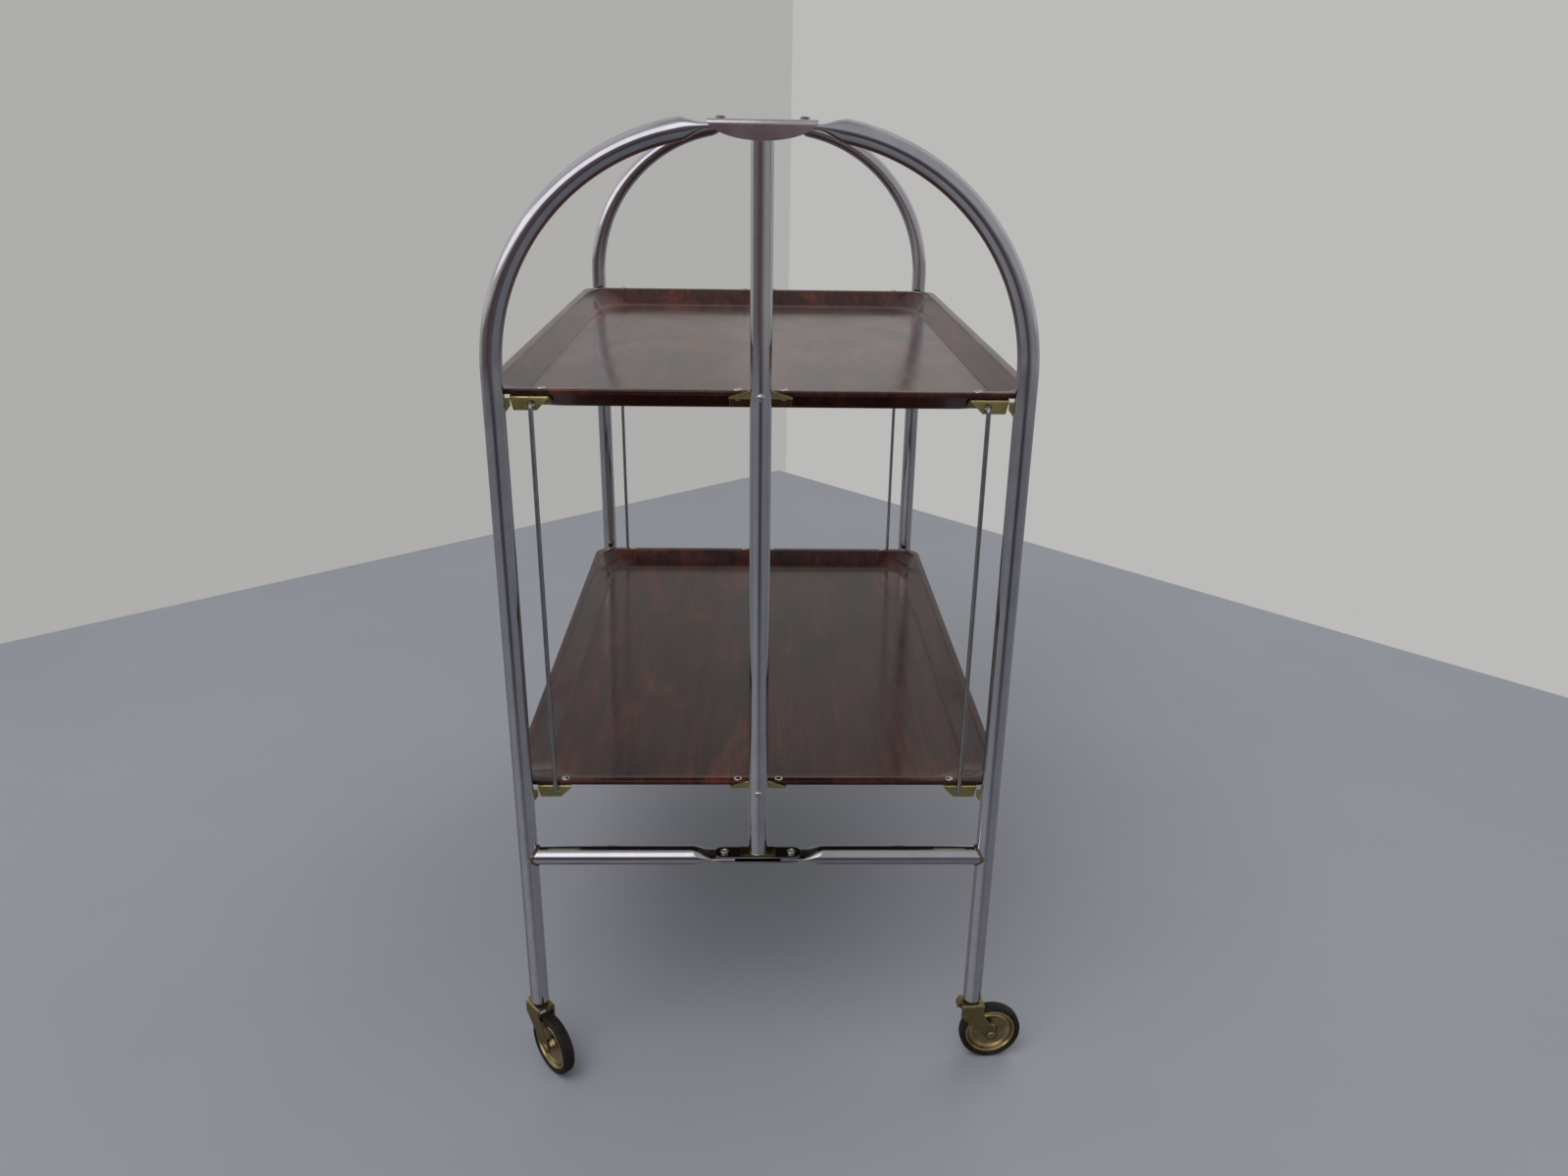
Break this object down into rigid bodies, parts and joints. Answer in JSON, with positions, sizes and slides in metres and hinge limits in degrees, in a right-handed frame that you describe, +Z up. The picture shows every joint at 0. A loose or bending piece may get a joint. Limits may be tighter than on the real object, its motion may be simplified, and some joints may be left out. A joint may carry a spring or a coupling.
{
  "type": "tea cart",
  "caption": "Folding serving trolley with arched tube end frames, flared wooden trays that tilt together on link rods, and swivel castors.",
  "frame": {"origin": "on the floor, under the middle of the cart", "axes": "+Z up, X across the cart, Y along it from the near end frame to the far one"},
  "size_m": [0.459, 0.6574, 0.7634],
  "materials": {
    "chrome_tube": "polished",
    "chrome_sheet": "polished",
    "dark_chrome": "polished",
    "brass": "satin",
    "fastener": "satin",
    "dark_wood": "high gloss lacquer",
    "wire": "satin",
    "castor_steel": "satin",
    "tyre": "matte"
  },
  "bodies": {
    "frame": {"near_post": "chrome_tube", "near_post_foot": "brass", "near_clasp": "chrome_sheet", "near_upper_hinge_plate": "dark_chrome", "near_lower_hinge_plate": "dark_chrome", "near_upper_pivot_rivet": "fastener", "near_lower_pivot_rivet": "fastener", "far_post": "chrome_tube", "far_post_foot": "brass", "far_clasp": "chrome_sheet", "far_upper_hinge_plate": "dark_chrome", "far_lower_hinge_plate": "dark_chrome", "far_upper_pivot_rivet": "fastener", "far_lower_pivot_rivet": "fastener", "near_left_half_frame": "chrome_tube", "near_left_clasp_screw": "fastener", "near_left_hinge_rivet": "fastener", "near_left_castor_stem": "fastener", "near_right_half_frame": "chrome_tube", "near_right_clasp_screw": "fastener", "near_right_hinge_rivet": "fastener", "near_right_castor_stem": "fastener", "far_left_half_frame": "chrome_tube", "far_left_clasp_screw": "fastener", "far_left_hinge_rivet": "fastener", "far_left_castor_stem": "fastener", "far_right_half_frame": "chrome_tube", "far_right_clasp_screw": "fastener", "far_right_hinge_rivet": "fastener", "far_right_castor_stem": "fastener"},
    "upper_tray_body": {"upper_tray": "dark_wood", "upper_near_pivot_bracket": "brass", "upper_far_pivot_bracket": "brass", "upper_near_left_bracket": "brass", "upper_near_right_bracket": "brass", "upper_far_left_bracket": "brass", "upper_far_right_bracket": "brass"},
    "lower_tray_body": {"lower_tray": "dark_wood", "lower_near_pivot_bracket": "brass", "lower_far_pivot_bracket": "brass", "lower_near_left_bracket": "brass", "lower_near_right_bracket": "brass", "lower_far_left_bracket": "brass", "lower_far_right_bracket": "brass"},
    "near_left_rod_body": {"near_left_link_rod": "wire"},
    "near_right_rod_body": {"near_right_link_rod": "wire"},
    "far_left_rod_body": {"far_left_link_rod": "wire"},
    "far_right_rod_body": {"far_right_link_rod": "wire"},
    "near_left_fork_body": {"near_left_fork": "castor_steel"},
    "near_right_fork_body": {"near_right_fork": "castor_steel"},
    "far_left_fork_body": {"far_left_fork": "castor_steel"},
    "far_right_fork_body": {"far_right_fork": "castor_steel"},
    "near_left_wheel_body": {"near_left_wheel_disc": "castor_steel", "near_left_tyre": "tyre"},
    "near_right_wheel_body": {"near_right_wheel_disc": "castor_steel", "near_right_tyre": "tyre"},
    "far_left_wheel_body": {"far_left_wheel_disc": "castor_steel", "far_left_tyre": "tyre"},
    "far_right_wheel_body": {"far_right_wheel_disc": "castor_steel", "far_right_tyre": "tyre"}
  },
  "joints": [
    {"name": "upper_tray_tilt", "type": "hinge", "parent": "frame", "child": "upper_tray_body", "pos_m": [0, 0, 0.583], "axis": [0, 1, 0], "range_deg": [0, 82]},
    {"name": "lower_tray_tilt", "type": "hinge", "parent": "frame", "child": "lower_tray_body", "pos_m": [0, 0, 0.2675], "axis": [0, 1, 0], "range_deg": [0, 82]},
    {"name": "near_left_rod_swing", "type": "hinge", "parent": "upper_tray_body", "child": "near_left_rod_body", "pos_m": [-0.162, -0.28255, 0.573], "axis": [0, 1, 0], "range_deg": [-82, 0]},
    {"name": "near_right_rod_swing", "type": "hinge", "parent": "upper_tray_body", "child": "near_right_rod_body", "pos_m": [0.162, -0.28255, 0.573], "axis": [0, 1, 0], "range_deg": [-82, 0]},
    {"name": "far_left_rod_swing", "type": "hinge", "parent": "upper_tray_body", "child": "far_left_rod_body", "pos_m": [-0.162, 0.28255, 0.573], "axis": [0, 1, 0], "range_deg": [-82, 0]},
    {"name": "far_right_rod_swing", "type": "hinge", "parent": "upper_tray_body", "child": "far_right_rod_body", "pos_m": [0.162, 0.28255, 0.573], "axis": [0, 1, 0], "range_deg": [-82, 0]},
    {"name": "near_left_castor_swivel", "type": "hinge", "parent": "frame", "child": "near_left_fork_body", "pos_m": [-0.185, -0.293, 0.059], "axis": [0, 0, 1], "continuous": true},
    {"name": "near_right_castor_swivel", "type": "hinge", "parent": "frame", "child": "near_right_fork_body", "pos_m": [0.185, -0.293, 0.059], "axis": [0, 0, 1], "continuous": true},
    {"name": "far_left_castor_swivel", "type": "hinge", "parent": "frame", "child": "far_left_fork_body", "pos_m": [-0.185, 0.293, 0.059], "axis": [0, 0, 1], "continuous": true},
    {"name": "far_right_castor_swivel", "type": "hinge", "parent": "frame", "child": "far_right_fork_body", "pos_m": [0.185, 0.293, 0.059], "axis": [0, 0, 1], "continuous": true},
    {"name": "near_left_wheel_spin", "type": "hinge", "parent": "near_left_fork_body", "child": "near_left_wheel_body", "pos_m": [-0.17319, -0.30658, 0.0265], "axis": [0.7547, 0.6561, 0], "continuous": true},
    {"name": "near_right_wheel_spin", "type": "hinge", "parent": "near_right_fork_body", "child": "near_right_wheel_body", "pos_m": [0.20296, -0.29174, 0.0265], "axis": [-0.0698, 0.9976, 0], "continuous": true},
    {"name": "far_left_wheel_spin", "type": "hinge", "parent": "far_left_fork_body", "child": "far_left_wheel_body", "pos_m": [-0.20296, 0.29174, 0.0265], "axis": [0.0698, -0.9976, 0], "continuous": true},
    {"name": "far_right_wheel_spin", "type": "hinge", "parent": "far_right_fork_body", "child": "far_right_wheel_body", "pos_m": [0.17319, 0.30658, 0.0265], "axis": [-0.7547, -0.6561, 0], "continuous": true}
  ],
  "couplings": [
    {"joint": "lower_tray_tilt", "follows": "upper_tray_tilt", "ratio": 1},
    {"joint": "near_left_rod_swing", "follows": "upper_tray_tilt", "ratio": -1},
    {"joint": "near_right_rod_swing", "follows": "upper_tray_tilt", "ratio": -1},
    {"joint": "far_left_rod_swing", "follows": "upper_tray_tilt", "ratio": -1},
    {"joint": "far_right_rod_swing", "follows": "upper_tray_tilt", "ratio": -1}
  ]
}
